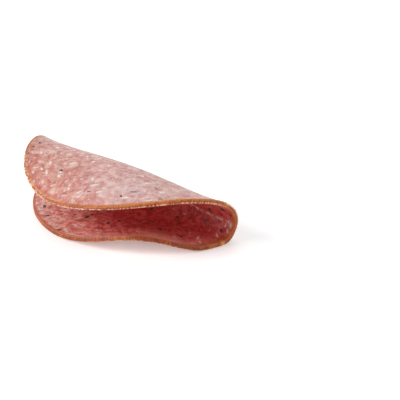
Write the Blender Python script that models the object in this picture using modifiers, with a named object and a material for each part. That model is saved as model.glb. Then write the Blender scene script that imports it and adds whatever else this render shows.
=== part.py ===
"""One slice of cured sausage, folded over on itself and lying on its lower flap.

The slice is cut as a flat round disc and then bent round an axis that passes near its centre.
+X runs along the fold towards its wide open end, -Y is the side where the two flaps part,
and +Z is up. The slice is modelled in metres and rests on z = 0.
"""

import math

import bmesh
import bpy
import numpy as np

# ---------------------------------------------------------------- driving sizes
RADIUS = 0.0475  # the sausage is 95 mm across
THICKNESS = 0.0018  # of the slice
CELLS = 36  # grid cells across the disc

# The fold. x below is the place along the fold, from -1 at its back end to 1 at its open end.
FOLD_OFFSET = -0.0041  # the fold line's distance from the disc's centre, towards the lower flap
FOLD_SKEW = -0.0018  # how far the fold line turns over a radius
BEND_HALF_WIDTH = 0.0124  # how much of the disc the bend takes up, either side of the fold line
BEND_TAPER = -0.0018  # tighter towards the open end
BEND_PINCH = -0.0043  # tighter towards both ends
BEND_RELAX = 0.0035  # and looser again at the very ends
FLAP_LIFT = 19.1  # degrees by which the upper flap leaves the bend rising
FLAP_LIFT_TAPER = 11.1  # it rises more at the open end
FLAP_DROOP = 46.4  # degrees that the upper flap has turned down by one radius from the fold

# The lower flap. Its edge arches up off the table between two places where it lies flat.
FLOOR_SINK = 0.0027  # the bend's underside is pressed flat by this much
FLOOR_SOFT = 0.0010  # how gently the flat part runs out into the rest
ARCH_HEIGHT, ARCH_AT, ARCH_WIDTH = 0.0300, 0.0418, 0.0279
RIPPLE_HEIGHT, RIPPLE_AT, RIPPLE_WIDTH = 0.0031, -0.0046, 0.0204
# The back half of the upper flap hangs a little.
SAG_HEIGHT, SAG_AT, SAG_WIDTH = -0.0033, -0.0203, 0.0258
WAVE_START = 0.004  # waves grow from this far off the fold line

# Moves the slice so that its box is centred on the origin.
CENTRE = (0.0, -0.02893)

CUT_FACE = (0.62, 0.29, 0.26)


# ---------------------------------------------------------------- the fold
def hump(along, height, at, width):
    return height * np.exp(-(((along - at) / width) ** 2))


def bend_angle(distance, half_width, turn):
    """How far the slice has turned, going from the lower flap (0) over the bend (a half turn) to the upper flap."""
    droop = math.radians(FLAP_DROOP) * (np.clip(distance, 0, None) / RADIUS) ** 2
    return turn * 0.5 * (1 + np.tanh(distance / half_width)) + droop


def run(distance, half_width, turn, steps=48):
    """Level and upward travel along the bent section, from the fold line to a distance from it."""
    level, rise = np.zeros_like(distance), np.zeros_like(distance)
    for i in range(steps):
        angle = bend_angle(distance * (i + 0.5) / steps, half_width, turn)
        level -= np.cos(angle)
        rise += np.sin(angle)
    return level * distance / steps, rise * distance / steps


def folded(u, v):
    """Where a point of the flat disc lies once the slice is folded. u is along the fold and v across it."""
    x = u / RADIUS
    line = FOLD_OFFSET + FOLD_SKEW * x
    distance = v - line
    half_width = BEND_HALF_WIDTH + BEND_TAPER * x + BEND_PINCH * x**2 + BEND_RELAX * x**4
    turn = math.pi - np.radians(FLAP_LIFT + FLAP_LIFT_TAPER * x)
    level, rise = run(distance, half_width, turn)
    far = RADIUS + 0.008  # beyond the lower flap's edge, where the slice is flat
    far_level, far_rise = run(np.full_like(u, -far), half_width, turn)
    y = (far - line) + level - far_level
    z = rise - far_rise
    below = np.clip(-distance - WAVE_START, 0, None) / RADIUS
    z = z + below**2 * (
        hump(u, ARCH_HEIGHT, ARCH_AT, ARCH_WIDTH)
        + hump(u, RIPPLE_HEIGHT, RIPPLE_AT, RIPPLE_WIDTH)
    )
    above = np.clip(distance - WAVE_START, 0, None) / RADIUS
    z = z + above**2 * hump(u, SAG_HEIGHT, SAG_AT, SAG_WIDTH)
    z = z - FLOOR_SINK
    soft = (z + FLOOR_SOFT) ** 2 / (4 * FLOOR_SOFT)
    z = np.where(z <= -FLOOR_SOFT, 0, np.where(z >= FLOOR_SOFT, z, soft))
    return u - CENTRE[0], -y - CENTRE[1], z + THICKNESS / 2


# ---------------------------------------------------------------- the flat disc
def disc_mesh(name, cells):
    """A round disc of even cells: a square grid with each square ring moved out to a circle."""
    bm = bmesh.new()
    bmesh.ops.create_grid(bm, x_segments=cells, y_segments=cells, size=1.0)
    for vert in bm.verts:
        a, b = vert.co.x, vert.co.y
        if abs(a) > abs(b):
            ring, angle = a, math.pi / 4 * b / a
        elif b:
            ring, angle = b, math.pi / 2 - math.pi / 4 * a / b
        else:
            ring, angle = 0.0, 0.0
        vert.co.x = RADIUS * ring * math.cos(angle)
        vert.co.y = RADIUS * ring * math.sin(angle)
    mesh = bpy.data.meshes.new(name)
    bm.to_mesh(mesh)
    bm.free()
    return mesh


def fold_mesh(mesh):
    flat = np.empty(len(mesh.vertices) * 3, np.float32)
    mesh.vertices.foreach_get("co", flat)
    flat = flat.reshape(-1, 3).astype(float)
    bent = np.stack(folded(flat[:, 0], flat[:, 1]), axis=1)
    mesh.vertices.foreach_set("co", bent.astype(np.float32).ravel())
    mesh.update()


def cut_face_material():
    material = bpy.data.materials.new("cured_sausage")
    material.use_nodes = True
    shader = material.node_tree.nodes["Principled BSDF"]
    shader.inputs["Base Color"].default_value = (*CUT_FACE, 1.0)
    shader.inputs["Roughness"].default_value = 0.42
    shader.inputs["Metallic"].default_value = 0.0
    return material


def main():
    for old in list(bpy.data.objects):
        bpy.data.objects.remove(old, do_unlink=True)
    group = bpy.data.collections.new("cured_sausage_slice")
    bpy.context.scene.collection.children.link(group)

    mesh = disc_mesh("slice", CELLS)
    fold_mesh(mesh)
    mesh.shade_smooth()
    mesh.materials.append(cut_face_material())
    piece = bpy.data.objects.new("slice", mesh)
    group.objects.link(piece)

    skin = piece.modifiers.new("thickness", "SOLIDIFY")
    skin.thickness = THICKNESS
    skin.offset = 0.0
    skin.use_even_offset = True
    skin.use_rim = True


main()
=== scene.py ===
"""The looks of one folded slice of cured sausage: finely ground meat and fat inside an orange-brown rind.

The slice is laid out as a flat round disc in millimetres, (u, v) across it and t through it, and every
vertex is then carried to its place by the same fold as the solid it replaces.
"""

import math

import bpy
import numpy as np
from mathutils import Matrix, Vector


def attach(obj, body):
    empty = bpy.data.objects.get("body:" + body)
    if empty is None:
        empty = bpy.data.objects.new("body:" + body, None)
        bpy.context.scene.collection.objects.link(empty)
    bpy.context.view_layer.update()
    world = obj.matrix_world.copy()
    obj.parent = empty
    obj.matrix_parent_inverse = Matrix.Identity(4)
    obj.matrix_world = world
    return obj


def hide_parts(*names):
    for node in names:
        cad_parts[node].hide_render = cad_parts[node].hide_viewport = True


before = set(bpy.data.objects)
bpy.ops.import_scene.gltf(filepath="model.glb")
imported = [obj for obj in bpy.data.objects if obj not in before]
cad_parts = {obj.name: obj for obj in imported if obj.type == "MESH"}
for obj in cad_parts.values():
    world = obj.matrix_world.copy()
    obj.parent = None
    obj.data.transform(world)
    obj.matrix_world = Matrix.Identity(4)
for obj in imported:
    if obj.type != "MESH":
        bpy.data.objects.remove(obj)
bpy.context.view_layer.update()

# ---------------------------------------------------------------- the fold, in metres
RADIUS = 0.0475
THICKNESS = 0.0018
FOLD_OFFSET = -0.0041
FOLD_SKEW = -0.0018
BEND_HALF_WIDTH = 0.0124
BEND_TAPER = -0.0018
BEND_PINCH = -0.0043
BEND_RELAX = 0.0035
FLAP_LIFT = 19.1
FLAP_LIFT_TAPER = 11.1
FLAP_DROOP = 46.4
FLOOR_SINK = 0.0027
FLOOR_SOFT = 0.0010
ARCH_HEIGHT, ARCH_AT, ARCH_WIDTH = 0.0300, 0.0418, 0.0279
RIPPLE_HEIGHT, RIPPLE_AT, RIPPLE_WIDTH = 0.0031, -0.0046, 0.0204
SAG_HEIGHT, SAG_AT, SAG_WIDTH = -0.0033, -0.0203, 0.0258
WAVE_START = 0.004
CENTRE = (0.0, -0.02893)


def hump(along, height, at, width):
    return height * np.exp(-(((along - at) / width) ** 2))


def bend_angle(distance, half_width, turn):
    droop = math.radians(FLAP_DROOP) * (np.clip(distance, 0, None) / RADIUS) ** 2
    return turn * 0.5 * (1 + np.tanh(distance / half_width)) + droop


def run(distance, half_width, turn, steps=48):
    level, rise = np.zeros_like(distance), np.zeros_like(distance)
    for i in range(steps):
        angle = bend_angle(distance * (i + 0.5) / steps, half_width, turn)
        level -= np.cos(angle)
        rise += np.sin(angle)
    return level * distance / steps, rise * distance / steps


def folded(u, v):
    x = u / RADIUS
    line = FOLD_OFFSET + FOLD_SKEW * x
    distance = v - line
    half_width = BEND_HALF_WIDTH + BEND_TAPER * x + BEND_PINCH * x**2 + BEND_RELAX * x**4
    turn = math.pi - np.radians(FLAP_LIFT + FLAP_LIFT_TAPER * x)
    level, rise = run(distance, half_width, turn)
    far = RADIUS + 0.008
    far_level, far_rise = run(np.full_like(u, -far), half_width, turn)
    y = (far - line) + level - far_level
    z = rise - far_rise
    below = np.clip(-distance - WAVE_START, 0, None) / RADIUS
    z = z + below**2 * (
        hump(u, ARCH_HEIGHT, ARCH_AT, ARCH_WIDTH)
        + hump(u, RIPPLE_HEIGHT, RIPPLE_AT, RIPPLE_WIDTH)
    )
    above = np.clip(distance - WAVE_START, 0, None) / RADIUS
    z = z + above**2 * hump(u, SAG_HEIGHT, SAG_AT, SAG_WIDTH)
    z = z - FLOOR_SINK
    soft = (z + FLOOR_SOFT) ** 2 / (4 * FLOOR_SOFT)
    z = np.where(z <= -FLOOR_SOFT, 0, np.where(z >= FLOOR_SOFT, z, soft))
    return np.stack([u - CENTRE[0], -y - CENTRE[1], z + THICKNESS / 2], axis=-1)


def placed(flat):
    """Carries flat points (u, v, t) in mm to their place on the folded slice, in metres. t is above 0 on the
    outer face, which is the upper flap's top and the lower flap's underside."""
    u, v, t = (flat[:, i].astype(float) * 0.001 for i in range(3))
    h = 0.0001
    across_u = folded(u + h, v) - folded(u - h, v)
    across_v = folded(u, v + h) - folded(u, v - h)
    out = np.cross(across_v, across_u)
    out /= np.linalg.norm(out, axis=1)[:, None]
    return folded(u, v) + out * t[:, None]


# ---------------------------------------------------------------- noise on the flat disc
def noise(points, size, seed):
    """Smooth noise from 0 to 1 with features about size mm wide."""
    table = np.random.default_rng(seed).random((32, 32, 32))
    p = points / size + 1000.0
    cell = np.floor(p).astype(int)
    f = p - cell
    f = f * f * f * (f * (f * 6 - 15) + 10)
    total = np.zeros(len(points))
    for i in (0, 1):
        for j in (0, 1):
            for k in (0, 1):
                weight = (
                    np.where(i, f[:, 0], 1 - f[:, 0])
                    * np.where(j, f[:, 1], 1 - f[:, 1])
                    * np.where(k, f[:, 2], 1 - f[:, 2])
                )
                total += weight * table[(cell[:, 0] + i) % 32, (cell[:, 1] + j) % 32, (cell[:, 2] + k) % 32]
    return total


def smooth(x, low, high):
    x = np.clip((x - low) / (high - low), 0, 1)
    return x * x * (3 - 2 * x)


# ---------------------------------------------------------------- flecks, patches and spots, in mm
# (u, v, half length, half width, turn in degrees). The outer face first, then the inner one. A sixth number
# says how much a fleck shows, from 1 down to 0 for one that is nearly the meat's colour.
OUTER_FAT = [
    (-32.2, 25.0, 1.2, 0.6, 44), (-13.3, 35.0, 1.0, 0.6, 30), (-20.2, 34.5, 1.6, 0.6, 48),
    (-23.2, 29.0, 1.3, 0.5, 55), (2.0, 33.0, 1.0, 0.6, 38), (-14.3, 33.0, 1.1, 0.6, 15),
    (-30.3, 17.5, 1.2, 0.95, 60), (-23.7, 33.5, 1.1, 0.5, 24), (21.3, 36.9, 1.3, 0.6, 141),
    (5.5, 35.9, 1.6, 0.6, 146), (-0.5, 21.1, 1.0, 0.5, 51), (2.0, 40.9, 1.1, 0.4, 151, 0.5),
    (-7.9, 21.6, 1.1, 0.6, 58), (3.0, 42.9, 0.8, 0.35, 162, 0.5), (-3.4, 43.4, 0.8, 0.35, 173, 0.6),
    (9.9, 38.4, 1.3, 0.5, 142), (30.2, 33.9, 1.6, 0.5, 140, 0.5), (-12.3, 40.0, 0.8, 0.4, 174, 0.2),
    (14.8, 19.5, 0.9, 0.5, 49), (20.7, 23.5, 1.2, 0.6, 91), (-28.2, 30.0, 1.1, 0.5, 26, 0.2),
    (29.6, 25.9, 1.2, 0.7, 118), (7.4, 15.6, 1.2, 0.9, 0), (-26.2, 35.9, 0.9, 0.5, 37, 0.3),
    (-22.4, 39.5, 0.5, 0.4, 60), (-13.9, 26.4, 1.8, 0.7, 146, 0.2), (-18.1, 39.2, 0.45, 0.35, 20, 0.8), (-3.7, 40.3, 0.8, 0.4, 30, 0.7),
]
INNER_FAT = [
    (44.8, -5.7, 1.3, 0.9, 103), (40.8, -11.8, 1.5, 0.6, 124), (22.8, -26.5, 1.3, 0.5, 20),
    (-7.3, -43.5, 2.0, 0.7, 156, 1.0), (-5.8, -35.6, 1.4, 0.9, 20, 0.9), (-7.8, -37.6, 1.4, 0.8, 160, 0.9),
    (2.1, -35.6, 1.4, 0.7, 10, 1.0), (35.8, -17.7, 1.3, 0.6, 120), (-28.1, -35.6, 1.2, 0.6, 140),
    (39.4, -4.1, 1.2, 0.4, 170), (29.0, -3.0, 1.0, 0.5, 166), (-20.1, -30.6, 1.6, 0.9, 0, 0.7),
    (28.8, -22.7, 1.3, 0.5, 150), (38.8, -20.2, 1.1, 0.5, 130), (15.0, -27.6, 1.4, 0.5, 170),
    (34.0, -3.5, 1.1, 0.4, 168), (43.8, -4.4, 0.9, 0.5, 80), (44.2, -8.2, 1.0, 0.6, 120),
    (42.6, -6.6, 0.5, 0.35, 60), (-17.4, -38.6, 0.8, 0.6, 30, 0.8), (-14.4, -42.6, 0.5, 0.4, 0, 0.8),
    (-2.2, -45.1, 1.6, 0.7, 150, 0.7), (-15.1, -36.4, 1.3, 0.8, 30, 0.5), (-4.9, -29.4, 0.6, 0.4, 0, 0.7),
    (-2.4, -37.4, 1.4, 0.4, 10, 0.6), (-10.5, -32.0, 1.6, 0.6, 74, 0.6),
]
OUTER_RED = [
    (2.5, 35.4, 0.7, 0.7, 0), (-38.7, 23.4, 2.2, 0.9, 45), (-16.7, 42.4, 2.1, 0.7, 35), (-10.8, 32.0, 1.6, 1.1, 77),
    (-22.7, 24.1, 1.5, 1.0, 20), (-30.2, 34.4, 2.1, 0.9, 39), (-34.2, 28.9, 1.9, 1.4, 10),
    (-24.2, 37.4, 2.1, 1.5, 30), (-26.2, 27.5, 1.6, 0.7, 50), (1.0, 21.0, 1.2, 0.8, 100),
    (16.8, 20.0, 1.3, 0.8, 60), (-35.5, 23.5, 1.8, 1.2, 40), (33, 22.5, 2.2, 1.2, 140),
]
OUTER_CREAM = [
    (3, 42, 2.6, 0.9, 155), (-13.6, 26.6, 2.1, 1.3, 48), (-13.0, 28.5, 1.6, 1.0, 20), (-16.3, 28.2, 2.4, 0.9, 40),
    (-29.2, 22.0, 2.2, 1.4, 60), (-22.9, 30.5, 2.4, 1.3, 50), (5, 32.5, 2.6, 1.4, 150), (28.8, 32, 3.0, 1.2, 140),
]
# (u, v, half length, half width, turn, how much it shows: 1 is black; less is greyer, partly veiled by the meat and
# partly a painted sheen on the top face where it is seen at a glance)
OUTER_PEPPER = [
    (-14.8, 32.1, 0.8, 0.6, 169, 1.0), (19.3, 36.9, 0.6, 0.45, 20, 0.8), (-39.2, 18.6, 0.65, 0.42, 56, 0.85),
    (21.7, 32.4, 1.3, 0.5, 146, 0.35), (25.7, 24.5, 0.9, 0.6, 30, 0.35), (5.9, 39.6, 0.8, 0.3, 165, 0.55),
    (33.1, 30.9, 1.0, 0.45, 140, 0.4), (-38.4, 22.7, 0.48, 0.36, 10, 0.9), (-36.7, 27.5, 0.4, 0.3, 80, 0.55),
    (36.1, 24.0, 0.8, 0.4, 130, 0.35), (8.4, 12.1, 0.9, 0.5, 60, 0.4),
]
INNER_PEPPER = [
    (42.4, 2.3, 1.1, 0.9, 120, 1.0), (35.0, -1.0, 0.8, 0.5, 60, 0.9), (41.4, -8.9, 0.9, 0.45, 130, 1.0),
    (33.4, -7.4, 0.8, 0.35, 100, 0.75), (21.1, -9.9, 0.8, 0.45, 30, 0.75), (20.0, -20.7, 1.2, 0.4, 170, 1.0),
    (29.9, -20.7, 1.2, 0.42, 161, 1.0), (3.1, -24.7, 0.8, 0.5, 0, 0.9), (1.1, -28.6, 1.0, 0.6, 113, 1.0),
    (-8.8, -29.6, 1.3, 0.7, 106, 1.0), (-13.7, -31.1, 0.7, 0.4, 30, 0.8), (-28.1, -32.6, 1.2, 0.6, 124, 0.8),
    (-21.6, -38.0, 0.8, 0.6, 40, 0.9), (-9.8, -44.5, 0.9, 0.6, 0, 0.9), (-8.6, -26.7, 0.8, 0.5, 60, 0.9),
    (-25.6, -24.7, 0.8, 0.5, 60, 0.7), (8.9, -10.8, 0.9, 0.5, 20, 0.9), (-16.7, -20.7, 0.7, 0.5, 0, 0.8),
    (25, -38.4, 0.9, 0.5, 150, 0.9), (15.4, -43.2, 0.7, 0.5, 160, 0.6), (6.2, -45.4, 0.5, 0.3, 170, 0.7),
    (45.3, -0.6, 0.7, 0.4, 80, 0.8),
]
FLAKE_AT, FLAKE_WIDTH = (45.2, -14.5), 1.1  # a torn bit of rind on the lower flap's edge


def scattered(count, seed, length, width, kept_clear, gap, allowed=lambda u, v: True):
    """Seeded ellipses over the disc where allowed, off the ones already placed."""
    rng = np.random.default_rng(seed)
    placed_here = [e[:2] for e in kept_clear]
    found = []
    while len(found) < count:
        r, a = 46.0 * math.sqrt(rng.random()), rng.random() * math.tau
        u, v = r * math.cos(a), r * math.sin(a)
        turn, half_length, half_width = rng.random() * 180, rng.uniform(*length), rng.uniform(*width)
        if allowed(u, v) and all((u - p[0]) ** 2 + (v - p[1]) ** 2 > gap**2 for p in placed_here):
            placed_here.append((u, v))
            found.append((u, v, half_length, min(half_width, half_length), turn))
    return found


def ellipse_field(points, ellipses):
    """About how many mm a point is inside the nearest ellipse, below 0 outside."""
    best = np.full(len(points), -5.0)
    for e in ellipses:
        u, v, a, b, turn = e[:5]
        near = np.flatnonzero((np.abs(points[:, 0] - u) < 6) & (np.abs(points[:, 1] - v) < 6))
        c, s = math.cos(math.radians(turn)), math.sin(math.radians(turn))
        du, dv = points[near, 0] - u, points[near, 1] - v
        q = np.sqrt(((c * du + s * dv) / a) ** 2 + ((c * dv - s * du) / b) ** 2)
        best[near] = np.maximum(best[near], (1 - q) * b)
    return best


# Each face's flecks: the ones placed above, and more strewn over the rest.
FLECKS = {}
for face, fat, pepper, seed in ((1, OUTER_FAT, OUTER_PEPPER, 100), (-1, INNER_FAT, INNER_PEPPER, 200)):
    strewn = scattered(80 if face > 0 else 58, seed + 1, (0.3, 0.85), (0.2, 0.42), fat + pepper, 3.2)
    more = scattered(26, seed + 9, (0.3, 0.95), (0.22, 0.5), pepper + fat, 6.0, lambda u, v: (v < 8) == (face > 0))
    shows = np.random.default_rng(seed + 5).uniform(0.3, 1.0, len(more))
    FLECKS[face] = {
        "fat": fat,
        "strewn": strewn,
        "faint": scattered(170, seed + 2, (0.5, 1.3), (0.3, 0.6), fat + strewn, 2.0),
        "pepper": pepper + [e + (float(show),) for e, show in zip(more, shows)],
    }

# ---------------------------------------------------------------- the slice's mesh
R = RADIUS * 1000
HALF = THICKNESS * 500
ROUNDING = 0.30  # mm by which the rind curves back towards both faces
WALL_ROWS = 11
CELLS = 200


def rim_inset(angle):
    """How far the rind stays inside the full radius: slow unevenness and the rind's short wrinkles."""
    at = np.stack([R * np.cos(angle), R * np.sin(angle), np.zeros_like(angle)], axis=1)
    slow = noise(at, 9.0, 11)
    wrinkles = noise(at, 1.6, 12)
    return 0.01 + 0.06 * slow + 0.07 * wrinkles**2


def disc_grid(cells):
    """(cells + 1) squared points of a square grid moved out to a round disc of radius 1."""
    line = np.linspace(-1, 1, cells + 1)
    a, b = np.meshgrid(line, line, indexing="ij")
    wide = np.abs(a) > np.abs(b)
    ring = np.where(wide, a, b)
    with np.errstate(divide="ignore", invalid="ignore"):
        angle = np.where(wide, math.pi / 4 * b / a, math.pi / 2 - math.pi / 4 * a / b)
    angle = np.nan_to_num(angle)
    return (ring * np.cos(angle)).ravel(), (ring * np.sin(angle)).ravel()


def meat_fields(flat, side):
    """Relief and colour fields of one face. side is 1 on the outer face and -1 on the inner one."""
    outer = side > 0
    flecks = FLECKS[side]
    seed = 100 if outer else 200
    cream = list(OUTER_CREAM if outer else [])
    cream += scattered(44, seed + 3, (1.2, 2.4), (0.7, 1.4), cream, 6.5)
    red = list(OUTER_RED if outer else [])
    red += scattered(60, seed + 4, (0.8, 2.2), (0.5, 1.1), red, 4.0)
    return {
        "fat": ellipse_field(flat, flecks["fat"] + flecks["strewn"]),
        "faint": ellipse_field(flat, flecks["faint"]),
        "pepper": ellipse_field(flat, flecks["pepper"]),
        "cream": ellipse_field(flat, cream),
        "red": ellipse_field(flat, red),
    }


def slice_mesh():
    x, y = disc_grid(CELLS)
    count = len(x)
    side_row = CELLS + 1
    index = np.arange(count).reshape(side_row, side_row)
    # the disc's edge, once round
    edge = np.concatenate([index[:-1, 0], index[-1, :-1], index[:0:-1, -1], index[0, :0:-1]])
    edge_angle = np.arctan2(y[edge], x[edge])
    inset = rim_inset(edge_angle)

    angle = np.arctan2(y, x)
    radius = np.hypot(x, y)
    here = rim_inset(angle)
    rho = radius * (R - ROUNDING) - smooth(radius, 0.85, 1.0) * here

    faces, parts, fields, rim = [], [], [], []
    for side in (1, -1):
        flat = np.stack([rho * np.cos(angle), rho * np.sin(angle), np.full(count, side * HALF)], axis=1)
        own = meat_fields(flat, side)
        inward = (R - ROUNDING) - here - rho
        soft = smooth(inward, 0.0, 1.2)
        grain = noise(flat, 1.7, 21) * 0.55 + noise(flat, 0.95, 22) * 0.45
        chips = smooth(np.maximum(own["fat"], own["pepper"]), -0.45, 0.0)
        relief = 0.085 * smooth(grain, 0.75, 0.25) * (1 - chips) + 0.06 * chips
        relief += 0.03 * noise(flat, 6.0, 23)
        pits = scattered(26, 310 + side, (0.35, 0.6), (0.3, 0.45), [], 4.0)
        relief += 0.16 * smooth(ellipse_field(flat, pits), -0.15, 0.3)
        flat[:, 2] -= side * relief * soft
        parts.append(flat)
        fields.append({**own, "grain": grain})
        rim.append(inward)
        start = 0 if side > 0 else count
        a, b = index[:-1, :-1].ravel() + start, index[1:, :-1].ravel() + start
        c, d = index[1:, 1:].ravel() + start, index[:-1, 1:].ravel() + start
        faces.append(np.stack([a, b, c, d] if side > 0 else [d, c, b, a], axis=1))

    # the rind's wall, bowed from the outer face round to the inner one
    profile_rows = []
    for i in range(1, WALL_ROWS + 1):
        a = math.pi / 2 - math.pi * i / (WALL_ROWS + 1)
        t = HALF * math.copysign(abs(math.sin(a)) ** 0.8, math.sin(a))
        profile_rows.append((ROUNDING * (1 - math.cos(a) ** 0.9), t))
    ring_start = 2 * count
    rings = []
    flake = np.hypot(R * np.cos(edge_angle) - FLAKE_AT[0], R * np.sin(edge_angle) - FLAKE_AT[1])
    flake = np.exp(-((flake / (FLAKE_WIDTH * 0.5)) ** 2))
    for back, t in profile_rows:
        ring_rho = R - inset - back
        ring = np.stack([ring_rho * np.cos(edge_angle), ring_rho * np.sin(edge_angle), np.full(len(edge), t)], axis=1)
        ridge = noise(ring * np.array([1, 1, 0.35]), 0.75, 31)
        push = -0.09 * ridge * (1 - (t / HALF) ** 2) + 0.75 * flake * smooth(np.array([-t]), -0.7, 0.7)[0]
        ring[:, 0] += push * np.cos(edge_angle)
        ring[:, 1] += push * np.sin(edge_angle)
        rings.append(ring)
        fields.append({k: np.full(len(edge), v) for k, v in (("fat", -5.0), ("pepper", -5.0), ("faint", -5.0), ("cream", -5.0), ("red", -5.0), ("grain", 0.5))})
        rim.append(np.full(len(edge), -0.3))
    parts += rings
    n = len(edge)
    previous = edge
    for k in range(len(rings) + 1):
        current = ring_start + k * n + np.arange(n) if k < len(rings) else edge + count
        faces.append(np.stack([previous, current, np.roll(current, -1), np.roll(previous, -1)], axis=1))
        previous = current
    flat = np.concatenate(parts)
    faces = np.concatenate(faces)
    joined = {k: np.concatenate([f[k] for f in fields]) for k in ("fat", "faint", "pepper", "cream", "red", "grain")}
    joined["rim"] = np.concatenate(rim)
    u, v = flat[:, 0], flat[:, 1]
    # painted shade: how far into the fold a point of the inner face lies, to darken and redden its colour there
    joined["painted_fold_shade"] = smooth(u + 0.4 * v, -48, -10) * np.clip(
        (joined["rim"] + 1.8 + 4.0 * smooth(u, 36, 44)) / (8 + 17.6 * smooth(u, 42, 2)), 0, 1
    )
    # painted sheen: a pale mauve haze over the upper flap's top towards its front
    joined["painted_sheen"] = np.exp(-(((u - 18) / 20) ** 2) - ((v - 34) / 12) ** 2) * smooth(u, 42, 32)
    # where the rind's corners show as pale broken lines: the front of the upper flap, the lower flap's right
    # half, and the open end, where the bend turns the outer corner to the front
    joined["inner_line"] = smooth(v, 6, 14) * smooth(u, -46, -38) * (1 - 0.15 * smooth(u, 0, 20))
    joined["open_end"] = smooth(u, 45.6, 46.8) * smooth(v, 12, 7) * smooth(v, -12, -7)
    lower_left = 0.8 * smooth(v, 22, 32) * smooth(u, -8, -18)
    joined["outer_line"] = np.maximum(0.5 * smooth(v, -8, -18) * smooth(u, 0, 12), np.maximum(joined["open_end"], lower_left))
    joined["bright_line"] = smooth(v, 0, 8) * smooth(u, 30, 4)
    joined["left"] = smooth(v, 0, 12) * smooth(u, 10, -12)
    joined["turned"] = smooth(v, 0, 12) * smooth(u, 22, -20)
    joined["upper"] = smooth(v, -12, 6) * (0.3 + 0.7 * smooth(u, 0, 34))
    # painted light: the lower flap's inner face is made paler and warmer beside its rind, and where it starts to arch
    beside = smooth(joined["rim"], 9, 2) * smooth(v, -6, -20) * smooth(u, 8, 22) * smooth(u, 46, 38)
    arched = smooth(v, -20, -27.5) * smooth(u, 9, 23) * smooth(u, 39, 33)
    joined["painted_light_rim_and_arch"] = np.maximum(0.2 * beside, 0.7 * arched)
    # painted light and shade on the lower flap's inner face: brighter along its rind and in a hump at the left middle,
    # darker towards the right end
    narrow = smooth(u, 12, 30)
    joined["painted_light_and_shade_inner"] = smooth(joined["rim"], 26 - 15 * narrow, 10 - 8 * narrow) * smooth(v, -8, -22) * smooth(u, 44, 34)
    joined["painted_light_and_shade_inner"] += 0.3 * smooth(u, 22, 10) * smooth(u, -14, -4) * smooth(v, -4, -12) - 0.22 * smooth(u, 28, 38)
    joined["flake"] = np.exp(-(((u - FLAKE_AT[0]) ** 2 + (v - FLAKE_AT[1]) ** 2) / (0.75 * FLAKE_WIDTH) ** 2))
    joined["wide"] = smooth(u, 22, 40)
    along = (u - 24) / 24  # a pale streak where the inner face bends most, partly a film of fat and partly a painted highlight
    joined["streak"] = np.exp(-(((v + 2.2 + 3.2 * along) / (0.5 + 0.8 * along.clip(0, 1))) ** 2)) * smooth(u, 16, 27)
    joined["side"] = np.concatenate([np.ones(count), -np.ones(count)] + [np.full(n, r[0, 2] / HALF) for r in rings])
    return flat, faces, joined, (count, n, len(rings), edge)


def make_mesh(name, coordinates, faces):
    mesh = bpy.data.meshes.new(name)
    mesh.from_pydata(coordinates.tolist(), [], [tuple(f) for f in faces.tolist()])
    mesh.update()
    mesh.shade_smooth()
    return mesh


def add_field(mesh, name, values):
    if values.ndim == 2:
        layer = mesh.attributes.new(name, "FLOAT_VECTOR", "POINT")
        layer.data.foreach_set("vector", values.astype(np.float32).ravel())
    else:
        layer = mesh.attributes.new(name, "FLOAT", "POINT")
        layer.data.foreach_set("value", values.astype(np.float32))


def face_points_outward(coordinates, faces):
    """Whether the closed mesh's faces point out, from its signed volume."""
    a, b, c, d = (coordinates[faces[:, i]] for i in range(4))
    return (np.einsum("ij,ij->i", a, np.cross(b, c)) + np.einsum("ij,ij->i", a, np.cross(c, d))).sum() > 0


flat, faces, fields, layout = slice_mesh()
coordinates = placed(flat)
if not face_points_outward(coordinates, faces):
    faces = faces[:, ::-1]
slice_data = make_mesh("cured_slice", coordinates, faces)
add_field(slice_data, "flat", flat)
for field_name, values in fields.items():
    add_field(slice_data, field_name, values)


def lay_out_uvs(mesh, flat, layout):
    """Two discs side by side, and the rind's wall in four strips below them."""
    count, n, rows, _ = layout
    loops = np.empty(len(mesh.loops), np.int32)
    mesh.loops.foreach_get("vertex_index", loops)
    owner = np.repeat(np.arange(len(mesh.polygons)), 4)
    uv = np.empty((len(loops), 2))
    scale = 0.235 / R
    point = flat[loops]
    face_points = point.reshape(-1, 4, 3)
    is_wall = np.any(loops.reshape(-1, 4) >= 2 * count, axis=1)
    inner = np.all((loops.reshape(-1, 4) >= count) & (loops.reshape(-1, 4) < 2 * count), axis=1)
    centre_u = np.where(inner, 0.75, 0.25)[owner]
    sign = np.where(inner, -1.0, 1.0)[owner]
    uv[:, 0] = centre_u + sign * point[:, 0] * scale
    uv[:, 1] = 0.745 + point[:, 1] * scale
    angle = np.arctan2(face_points[:, :, 1], face_points[:, :, 0]) % math.tau
    middle = angle[:, :1]
    angle = middle + (angle - middle + math.pi) % math.tau - math.pi
    quarter = np.clip((angle.mean(axis=1) % math.tau) // (math.pi / 2), 0, 3)
    turned = (angle - quarter[:, None] * math.pi / 2 + math.pi) % math.tau - math.pi
    wall_u = 0.02 + turned / (math.pi / 2) * 0.96
    wall_v = 0.04 + quarter[:, None] * 0.11 + (face_points[:, :, 2] / HALF + 1) * 0.5 * 0.07
    wall_uv = np.stack([wall_u, wall_v], axis=2)
    uv = np.where(is_wall[owner][:, None], wall_uv.reshape(-1, 2), uv)
    layer = mesh.uv_layers.new(name="OFBake")
    layer.data.foreach_set("uv", uv.astype(np.float32).ravel())


lay_out_uvs(slice_data, flat, layout)


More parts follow.
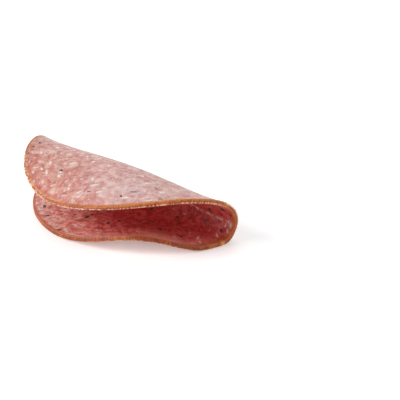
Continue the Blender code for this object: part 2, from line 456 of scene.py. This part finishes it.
# ---------------------------------------------------------------- bits of fat and pepper
def bit(rng, ellipse, side, depth, corner, ragged):
    """One bit cut off flush with the face: a lumpy slab of irregular outline, as flat points."""
    u, v, a, b, turn = ellipse[:5]
    sunk = rng.uniform(0, 0.02)
    around, c, s = 16, math.cos(math.radians(turn)), math.sin(math.radians(turn))
    phases = rng.uniform(0, math.tau, 3)
    outline = []
    for i in range(around):
        w = math.tau * i / around
        lobes = math.sin(2 * w + phases[0]) * 0.5 + math.sin(3 * w + phases[1]) * 0.8 + math.sin(5 * w + phases[2]) * 0.5
        square = (abs(math.cos(w)) ** corner + abs(math.sin(w)) ** corner) ** (-1 / corner)
        outline.append(square * (1 + ragged * lobes + rng.uniform(-0.5, 0.5) * ragged))
    points, faces = [], []
    levels = ((0.5, 0.0), (0.86, -0.01), (1.0, -0.04), (0.86, -depth * 0.6), (0.45, -depth))
    for size, height in levels:
        for i in range(around):
            w = math.tau * i / around
            du, dv = a * size * math.cos(w) * outline[i], b * size * math.sin(w) * outline[i]
            lift = height + rng.uniform(-0.012, 0)
            points.append((u + c * du - s * dv, v + s * du + c * dv, side * (HALF + lift - sunk)))
    top, bottom = len(points), len(points) + 1
    points += [(u, v, side * (HALF - sunk)), (u, v, side * (HALF - depth - sunk))]
    for k in range(len(levels) - 1):
        for i in range(around):
            j = (i + 1) % around
            faces.append((k * around + i, k * around + j, (k + 1) * around + j, (k + 1) * around + i))
    last = (len(levels) - 1) * around
    for i in range(around):
        j = (i + 1) % around
        faces.append((top, j, i))
        faces.append((bottom, last + i, last + j))
    if side < 0:
        faces = [f[::-1] for f in faces]
    return points, faces


def crumbs(rng, ellipse):
    """A fleck of fat is torn by the grinding, so it is a few small crumbs side by side."""
    u, v, a, b, turn = ellipse[:5]
    c, s = math.cos(math.radians(turn)), math.sin(math.radians(turn))
    if a > 0.95:
        a, b = 0.85 * a, 0.82 * b
    count = 1 if a < 0.5 else 2 if a < 0.95 else 3 if a < 1.3 else 4
    found = []
    for i in range(count):
        along = a * ((i + 0.5) / count - 0.5) * 1.7 + rng.uniform(-0.14, 0.14)
        aside = b * rng.uniform(-0.45, 0.45) * (count > 1)
        length = rng.uniform(0.5, 0.85) * a / count**0.6
        width = min(length, rng.uniform(0.5, 0.85) * b)
        found.append((u + c * along - s * aside, v + s * along + c * aside, length, width, turn + rng.uniform(-35, 35)))
    return found


def bits_mesh(name, kinds, seed, depth, corner, ragged, broken=False):
    """All bits of one kind on both faces, as one mesh. "shows" keeps how clearly each one shows."""
    rng = np.random.default_rng(seed)
    points, faces, shows = [], [], []
    for side in (1, -1):
        for kind, fallback in kinds:
            for e in FLECKS[side][kind]:
                if math.hypot(e[0], e[1]) > R - 1.4:
                    continue
                show = e[5] if len(e) > 5 else float(rng.uniform(*fallback))
                for piece in crumbs(rng, e) if broken else [e]:
                    p, f = bit(rng, piece, side, depth, corner, ragged)
                    start = len(points)
                    points += p
                    faces += [tuple(i + start for i in one) for one in f]
                    shows += [show] * len(p)
    flat = np.array(points)
    mesh = bpy.data.meshes.new(name)
    mesh.from_pydata(placed(flat).tolist(), [], faces)
    mesh.update()
    mesh.shade_smooth()
    add_field(mesh, "flat", flat)
    add_field(mesh, "shows", np.array(shows))
    return mesh


pepper_data = bits_mesh("pepper", (("pepper", (1, 1)),), 7, 0.35, 2.6, 0.12)
fat_data = bits_mesh("fat", (("fat", (0.6, 1.0)), ("strewn", (0.1, 0.7))), 8, 0.3, 2.2, 0.2, broken=True)


# ---------------------------------------------------------------- materials
def colour(r, g, b):
    """A colour given as it shows on screen, from 0 to 255, as the linear colour that a shader takes."""
    return tuple(c / 12.92 if c <= 0.04045 else ((c + 0.055) / 1.055) ** 2.4 for c in (r / 255, g / 255, b / 255)) + (1.0,)


class Nodes:
    """Adds shader nodes and joins them. An input is given a number, a colour or another node's output."""

    def __init__(self, material):
        self.tree = material.node_tree

    def make(self, kind, settings=None, **inputs):
        node = self.tree.nodes.new(kind)
        for name, value in (settings or {}).items():
            setattr(node, name, value)
        for name, value in inputs.items():
            self.plug(node.inputs[name.replace("_", " ")], value)
        return node

    def plug(self, socket, value):
        if isinstance(value, bpy.types.NodeSocket):
            self.tree.links.new(value, socket)
        else:
            socket.default_value = value

    def field(self, name):
        return self.make("ShaderNodeAttribute", {"attribute_name": name}).outputs["Fac"]

    def place(self):
        return self.make("ShaderNodeAttribute", {"attribute_name": "flat"}).outputs["Vector"]

    def math(self, operation, a, b=0.0, c=0.0, clamp=False):
        node = self.make("ShaderNodeMath", {"operation": operation, "use_clamp": clamp})
        for socket, value in zip(node.inputs, (a, b, c)):
            self.plug(socket, value)
        return node.outputs[0]

    def stretch(self, vector, scale):
        node = self.make("ShaderNodeVectorMath", {"operation": "MULTIPLY"})
        self.plug(node.inputs[0], vector)
        self.plug(node.inputs[1], scale)
        return node.outputs[0]

    def noise(self, vector, size, detail=2.0, roughness=0.5, distortion=0.0):
        node = self.make("ShaderNodeTexNoise", {"noise_dimensions": "3D"}, Vector=vector, Scale=1.0 / size, Detail=detail, Roughness=roughness, Distortion=distortion)
        return node.outputs["Fac"]

    def cells(self, vector, size, feature="F1", randomness=1.0):
        return self.make("ShaderNodeTexVoronoi", {"voronoi_dimensions": "3D", "feature": feature}, Vector=vector, Scale=1.0 / size, Randomness=randomness)

    def between(self, value, low, high, out_low=0.0, out_high=1.0, soft=True):
        node = self.make("ShaderNodeMapRange", {"interpolation_type": "SMOOTHSTEP" if soft else "LINEAR", "clamp": True})
        for name, v in (("Value", value), ("From Min", low), ("From Max", high), ("To Min", out_low), ("To Max", out_high)):
            self.plug(node.inputs[name], v)
        return node.outputs["Result"]

    def mix(self, factor, a, b, blend="MIX"):
        node = self.make("ShaderNodeMix", {"data_type": "RGBA", "blend_type": blend, "clamp_factor": True})
        for i, value in ((0, factor), (6, a), (7, b)):
            self.plug(node.inputs[i], value)
        return node.outputs[2]

    def bump(self, height, distance, normal=None, strength=1.0):
        node = self.make("ShaderNodeBump", None, Height=height, Distance=distance, Strength=strength)
        if normal is not None:
            self.plug(node.inputs["Normal"], normal)
        return node.outputs["Normal"]


def new_material(name):
    material = bpy.data.materials.new(name)
    material.use_nodes = True
    return material, Nodes(material), material.node_tree.nodes["Principled BSDF"]


def sausage_material():
    material, n, shader = new_material("cured_sausage_cut")
    place = n.place()
    grain, rim, side = n.field("grain"), n.field("rim"), n.field("side")

    # lean and fat ground together
    blobs = n.noise(place, 2.1, 3.0, 0.55, 0.4)
    grains = n.noise(place, 0.85, 3.0, 0.6)
    broad = n.noise(place, 14.0, 1.0)
    meat = n.math("ADD", n.math("MULTIPLY", blobs, 0.5), n.math("MULTIPLY", grains, 0.3))
    meat = n.math("ADD", meat, n.math("MULTIPLY", grain, 0.2))
    meat = n.math("ADD", meat, n.math("MULTIPLY", n.math("SUBTRACT", broad, 0.5), 0.12))
    meat = n.math("SUBTRACT", meat, 0.5)
    meat = n.math("ADD", n.math("MULTIPLY", meat, n.between(side, 0.2, -0.6, 1.4, 2.0)), 0.5)
    ramp = n.make("ShaderNodeValToRGB", None, Fac=meat)
    stops = ((0.30, (160, 74, 64)), (0.43, (178, 108, 96)), (0.53, (190, 136, 124)), (0.66, (202, 166, 153)))
    ramp.color_ramp.interpolation = "EASE"
    while len(ramp.color_ramp.elements) < len(stops):
        ramp.color_ramp.elements.new(0.5)
    for element, (at, rgb) in zip(ramp.color_ramp.elements, stops):
        element.position = at
        element.color = colour(*rgb)
    base = ramp.outputs["Color"]

    ragged = n.math("SUBTRACT", n.noise(place, 0.5, 2.0, 0.6), 0.5)
    cream = n.between(n.math("ADD", n.field("cream"), n.math("MULTIPLY", ragged, 1.6)), -0.5, 0.9)
    base = n.mix(n.math("MULTIPLY", cream, 0.5), base, colour(217, 187, 170))
    red = n.between(n.math("ADD", n.field("red"), n.math("MULTIPLY", ragged, 1.4)), -0.4, 0.6)
    base = n.mix(n.math("MULTIPLY", red, 0.4), base, colour(165, 78, 66))
    faint = n.between(n.math("ADD", n.field("faint"), n.math("MULTIPLY", ragged, 0.9)), -0.1, 0.35)
    base = n.mix(n.math("MULTIPLY", faint, 0.42), base, colour(224, 204, 194))
    # painted shade: the inner face is made a darker, deeper red away from the rind and deep in the fold, where little
    # light reaches and what does is bounced red
    inner = n.between(side, 0.2, -0.6)
    painted_fold_shade = n.math("MULTIPLY", inner, n.field("painted_fold_shade"))
    base = n.mix(n.math("MULTIPLY", painted_fold_shade, 0.9), base, n.mix(1.0, base, colour(248, 106, 112), "MULTIPLY"))
    # painted light and shade: the inner face's colour is scaled up where it should look more lit and down where less
    painted_light_and_shade_inner = n.math("MULTIPLY", inner, n.field("painted_light_and_shade_inner"))
    base = n.stretch(base, n.math("ADD", 1.0, n.math("MULTIPLY", painted_light_and_shade_inner, 0.33)))
    # painted light: paler, warmer meat beside the lower flap's rind and along its arch
    base = n.mix(n.math("MULTIPLY", inner, n.field("painted_light_rim_and_arch")), base, colour(238, 158, 132))
    speckle = n.between(n.noise(place, 0.45, 2.0, 0.6), 0.32, 0.68, 0.84, 1.16, soft=False)
    base = n.stretch(base, speckle)

    dots = n.cells(place, 2.3)
    dot_size = n.make("ShaderNodeSeparateColor", None, Color=dots.outputs["Color"])
    dot = n.math("SUBTRACT", n.math("MULTIPLY", dot_size.outputs[0], 0.22), dots.outputs["Distance"])
    base = n.mix(n.math("MULTIPLY", n.between(dot, -0.03, 0.05, 0.0, 0.5), n.math("SUBTRACT", 1.0, n.math("MULTIPLY", painted_fold_shade, 0.7))), base, colour(232, 214, 204))
    # painted sheen: a patchy pale mauve haze over the upper flap's top
    painted_sheen_amount = n.math("MULTIPLY", n.math("MULTIPLY", n.field("painted_sheen"), n.between(side, 0.5, 0.9)), n.between(n.noise(place, 2.5, 3.0), 0.3, 0.65, 0.12, 0.52))
    base = n.mix(painted_sheen_amount, base, colour(218, 200, 203))
    halo = n.between(n.field("fat"), -0.4, 0.2, 0.0, 0.38)
    base = n.mix(n.math("MULTIPLY", halo, n.math("SUBTRACT", 1.0, n.math("MULTIPLY", painted_fold_shade, 0.6))), base, colour(228, 206, 196))
    # partly a film of fat, partly a painted highlight along the inner bend
    bend_fat_film_and_highlight = n.math("MULTIPLY", n.field("streak"), n.between(n.noise(place, 0.9, 3.0, 0.6), 0.4, 0.65))
    base = n.mix(n.math("MULTIPLY", n.math("MULTIPLY", bend_fat_film_and_highlight, inner), 0.7), base, colour(214, 170, 170))

    # the rind: orange-brown, streaked across the edge, with pale broken lines at its corners
    across = n.stretch(place, (1.0, 1.0, 0.12))
    streak = n.noise(across, 0.45, 2.0, 0.6)
    patchy = n.noise(place, 5.0, 2.0)
    rind = n.mix(n.between(streak, 0.36, 0.62), colour(100, 35, 14), colour(160, 74, 27))
    golden_spots = n.math("MULTIPLY", n.between(patchy, 0.45, 0.72), n.between(streak, 0.35, 0.6, 0.15, 0.5))
    rind = n.mix(golden_spots, rind, colour(202, 126, 58))
    upper = n.field("upper")
    left = n.field("left")
    # painted highlight: the rind's top side is made golden, most along the upper flap towards the right and least at
    # the left end
    painted_top_highlight = n.math("MULTIPLY", n.between(side, -0.3, 0.9), n.math("ADD", n.math("MULTIPLY", upper, 0.5), 0.03))
    painted_top_highlight = n.math("MULTIPLY", painted_top_highlight, n.math("SUBTRACT", 1.0, n.math("MULTIPLY", left, 0.7)))
    rind = n.mix(n.math("MULTIPLY", painted_top_highlight, n.between(streak, 0.3, 0.6, 0.5, 1.0)), rind, colour(226, 150, 60))
    broken = n.noise(n.stretch(place, (1.0, 1.0, 0.3)), 0.75, 1.0)
    rind = n.mix(n.math("MULTIPLY", n.between(side, -0.5, -0.9), 0.5), rind, colour(198, 110, 56))
    lower = n.math("SUBTRACT", side, n.math("MULTIPLY", n.field("turned"), 0.75))
    inner_line = n.math("MULTIPLY", n.between(lower, -0.1, -0.35), n.between(lower, -1.15, -0.95))
    inner_line = n.math("MULTIPLY", inner_line, n.field("inner_line"))
    open_end = n.field("open_end")
    outer_line = n.between(n.math("ADD", side, n.math("MULTIPLY", open_end, 0.35)), 0.5, 0.8)
    outer_line = n.math("MULTIPLY", outer_line, n.field("outer_line"))
    line = n.math("MULTIPLY", n.math("ADD", inner_line, outer_line), n.between(rim, 0.55, 0.25))
    gaps = n.math("MULTIPLY", n.math("SUBTRACT", upper, n.math("MULTIPLY", open_end, 3.0)), 0.05)
    pale = n.math("MULTIPLY", line, n.between(n.math("SUBTRACT", broken, gaps), 0.43, 0.53))
    pale_colour = n.mix(n.field("bright_line"), colour(222, 172, 138), colour(250, 230, 214))
    rind = n.mix(pale, rind, n.mix(open_end, pale_colour, colour(240, 212, 178)))
    # towards the left the rind's width shows on the face: a golden broken line beside the meat, then brown
    inside = n.math("ADD", rim, n.math("MULTIPLY", ragged, 0.4))
    left_face = n.math("MULTIPLY", left, n.between(side, 0.75, 0.95))
    brown = n.math("MULTIPLY", left_face, n.math("SUBTRACT", 0.6, n.math("MULTIPLY", pale, 0.5)))
    rind = n.mix(brown, rind, colour(168, 96, 50))
    tan_line = n.math("MULTIPLY", n.between(inside, 0.45, 0.65), n.between(inside, 1.35, 1.05))
    tan_line = n.math("MULTIPLY", n.math("MULTIPLY", tan_line, left_face), n.between(broken, 0.41, 0.6, 0.12, 0.8))
    rind = n.mix(tan_line, rind, colour(212, 168, 124))
    reddish = n.math("MULTIPLY", n.between(inside, 1.2, 1.6), n.between(inside, 3.0, 2.0))
    base = n.mix(n.math("MULTIPLY", n.math("MULTIPLY", reddish, left_face), 0.3), base, colour(170, 84, 62))
    rind = n.mix(n.math("MULTIPLY", n.field("flake"), 0.8), rind, colour(232, 176, 96))
    wobble = n.math("MULTIPLY", n.math("SUBTRACT", n.noise(place, 1.2, 2.0), 0.5), n.math("SUBTRACT", 1.1, n.math("MULTIPLY", left_face, 0.6)))
    wide = n.math("MULTIPLY", n.math("MULTIPLY", inner, n.field("wide")), 1.6)
    wide = n.math("ADD", wide, n.math("MULTIPLY", left_face, 0.2))
    solid = n.math("ADD", 0.15, n.math("MULTIPLY", left_face, 0.7))
    margin = n.between(n.math("ADD", rim, wobble), n.math("ADD", 1.35, wide), solid)
    base = n.mix(margin, base, rind)
    material.node_tree.links.new(base, shader.inputs["Base Color"])

    # gloss: moist lean, duller fat, waxy rind
    rough = n.between(n.noise(place, 1.1, 2.0), 0.3, 0.7, 0.36, 0.52)
    rough = n.math("ADD", rough, n.math("MULTIPLY", margin, 0.04))
    material.node_tree.links.new(rough, shader.inputs["Roughness"])

    fibre = n.noise(place, 0.7, 4.0, 0.65)
    fine = n.noise(place, 0.28, 2.0, 0.6)
    height = n.math("ADD", n.math("MULTIPLY", fibre, 0.7), n.math("MULTIPLY", fine, 0.3))
    normal = n.bump(height, 0.00010)
    ribs = n.math("MULTIPLY", n.math("SUBTRACT", streak, 0.5), margin)
    normal = n.bump(ribs, 0.00012, normal)
    material.node_tree.links.new(normal, shader.inputs["Normal"])

    shader.inputs["Subsurface Weight"].default_value = 0.5
    shader.inputs["Subsurface Radius"].default_value = (2.6, 0.55, 0.4)
    shader.inputs["Subsurface Scale"].default_value = 0.001
    shader.inputs["IOR"].default_value = 1.42
    shader.inputs["Sheen Weight"].default_value = 0.1
    shader.inputs["Sheen Roughness"].default_value = 0.35
    shader.inputs["Sheen Tint"].default_value = (1.0, 0.94, 0.98, 1.0)
    return material


def fat_material():
    material, n, shader = new_material("pork_fat")
    place = n.place()
    cloud = n.noise(place, 0.6, 3.0, 0.6)
    clear = n.mix(n.between(cloud, 0.35, 0.65), colour(228, 214, 205), colour(238, 230, 224))
    blended = n.mix(n.between(cloud, 0.35, 0.65), colour(214, 178, 166), colour(230, 206, 196))
    base = n.mix(n.between(n.field("shows"), 0.2, 0.9), blended, clear)
    side = n.make("ShaderNodeSeparateXYZ", None, Vector=place)
    inner = n.between(side.outputs[2], 0.1, -0.1)
    across = n.math("ADD", side.outputs[0], n.math("MULTIPLY", side.outputs[1], 0.4))
    painted_fold_shade = n.math("MULTIPLY", inner, n.between(across, -34.0, 4.0))
    # painted light and shade: on the inner face the fat is made warmer, standing in for red light bounced from the meat
    # around it, and redder deep in the fold, painted shade
    base = n.mix(n.math("MULTIPLY", inner, 0.7), base, n.mix(1.0, base, colour(255, 232, 216), "MULTIPLY"))
    base = n.mix(n.math("MULTIPLY", painted_fold_shade, 0.55), base, n.mix(1.0, base, colour(250, 188, 180), "MULTIPLY"))
    material.node_tree.links.new(base, shader.inputs["Base Color"])
    shader.inputs["Roughness"].default_value = 0.4
    shader.inputs["Subsurface Weight"].default_value = 0.5
    shader.inputs["Subsurface Radius"].default_value = (1.4, 0.8, 0.6)
    shader.inputs["Subsurface Scale"].default_value = 0.001
    material.node_tree.links.new(n.bump(cloud, 0.00005), shader.inputs["Normal"])
    return material


def pepper_material():
    material, n, shader = new_material("black_pepper")
    place = n.place()
    speck = n.noise(place, 0.35, 3.0, 0.7)
    dark = n.mix(n.between(speck, 0.35, 0.7), colour(24, 17, 15), colour(66, 54, 47))
    # greyer pepper: partly veiled by the meat, partly a painted sheen
    veiled_and_painted_sheen = n.mix(n.between(speck, 0.35, 0.7), colour(98, 92, 92), colour(136, 124, 122))
    base = n.mix(n.between(n.field("shows"), 0.3, 0.9), veiled_and_painted_sheen, dark)
    material.node_tree.links.new(base, shader.inputs["Base Color"])
    shader.inputs["Roughness"].default_value = 0.5
    material.node_tree.links.new(n.bump(speck, 0.00008), shader.inputs["Normal"])
    return material


slice_data.materials.append(sausage_material())
pepper_data.materials.append(pepper_material())
fat_data.materials.append(fat_material())


# ---------------------------------------------------------------- pieces
def add_piece(name, mesh):
    piece = bpy.data.objects.new(name, mesh)
    bpy.context.scene.collection.objects.link(piece)
    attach(piece, "root")
    return piece


slice_piece = add_piece("slice_meat_and_rind", slice_data)
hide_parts("slice")
add_piece("slice_pepper", pepper_data)
add_piece("slice_fat_flecks", fat_data)


# ---------------------------------------------------------------- floor, light and camera
def plain_floor():
    mesh = bpy.data.meshes.new("floor")
    size = 4.0
    mesh.from_pydata([(-size, -size, 0), (size, -size, 0), (size, size, 0), (-size, size, 0)], [], [(0, 1, 2, 3)])
    floor = bpy.data.objects.new("floor", mesh)
    floor.location.z = -0.00005
    bpy.context.scene.collection.objects.link(floor)
    material, n, shader = new_material("pale_floor")
    shader.inputs["Base Color"].default_value = (0.93, 0.93, 0.93, 1)
    shader.inputs["Roughness"].default_value = 0.9
    shader.inputs["Emission Color"].default_value = (1, 1, 1, 1)
    shader.inputs["Emission Strength"].default_value = 0.25
    mesh.materials.append(material)


plain_floor()


def area_light(name, position, target, size, power, tint=(1, 1, 1)):
    lamp = bpy.data.lights.new(name, "AREA")
    lamp.shape = "DISK"
    lamp.size = size
    lamp.energy = power
    lamp.color = tint
    light = bpy.data.objects.new(name, lamp)
    light.location = position
    light.rotation_euler = (Vector(target) - Vector(position)).to_track_quat("-Z", "Y").to_euler()
    bpy.context.scene.collection.objects.link(light)


area_light("overhead", (-0.15, 0.25, 0.95), (0, 0, 0.01), 0.9, 2.1)
area_light("key", (-0.60, -0.72, 0.52), (0, 0, 0.01), 0.7, 11.5)
area_light("fill", (0.45, -0.85, 0.30), (0, 0, 0.01), 0.5, 0.7)
area_light("side", (0.90, 0.30, 0.42), (0.03, 0, 0.01), 0.4, 2.0)
area_light("backdrop", (-0.75, 1.0, 0.35), (0, 0, 0.02), 1.0, 3.5)

# The room's light is even and soft, and the backdrop itself shows plain white.
world = bpy.data.worlds.new("studio")
world.use_nodes = True
tree = world.node_tree
room = tree.nodes["Background"]
room.inputs["Color"].default_value = (1, 1, 1, 1)
room.inputs["Strength"].default_value = 0.36
white = tree.nodes.new("ShaderNodeBackground")
white.inputs["Strength"].default_value = 1.0
path = tree.nodes.new("ShaderNodeLightPath")
blend = tree.nodes.new("ShaderNodeMixShader")
tree.links.new(path.outputs["Is Camera Ray"], blend.inputs[0])
tree.links.new(room.outputs[0], blend.inputs[1])
tree.links.new(white.outputs[0], blend.inputs[2])
tree.links.new(blend.outputs[0], tree.nodes["World Output"].inputs["Surface"])
bpy.context.scene.world = world

# The view: azimuth 37.4 degrees off +Y, 25.7 degrees down, 600 mm away, 2.545 pixels to the millimetre.
AZIMUTH, DOWN = math.radians(37.4), math.radians(25.7)
AWAY, PER_MM = 0.600, 2.545
SHIFT_RIGHT, SHIFT_UP = -0.01845, 0.00064
right = Vector((math.cos(AZIMUTH), math.sin(AZIMUTH), 0))
ahead = Vector((-math.sin(AZIMUTH) * math.cos(DOWN), math.cos(AZIMUTH) * math.cos(DOWN), -math.sin(DOWN)))
up = Vector((-math.sin(AZIMUTH) * math.sin(DOWN), math.cos(AZIMUTH) * math.sin(DOWN), math.cos(DOWN)))
origin = Vector((0, -CENTRE[1], THICKNESS / 2))
eye = origin - right * SHIFT_RIGHT - up * SHIFT_UP - ahead * (AWAY + 0.008 * math.sin(DOWN))
lens = bpy.data.cameras.new("camera")
lens.sensor_width = 36.0
lens.lens = PER_MM * AWAY * 1000 * 36.0 / 400
lens.clip_start = 0.01
camera = bpy.data.objects.new("camera", lens)
axes = Matrix((right, up, -ahead)).transposed()
camera.matrix_world = Matrix.Translation(eye) @ axes.to_4x4()
bpy.context.scene.collection.objects.link(camera)
bpy.context.scene.camera = camera

bpy.context.scene.view_settings.view_transform = "Standard"
bpy.context.scene.view_settings.look = "None"
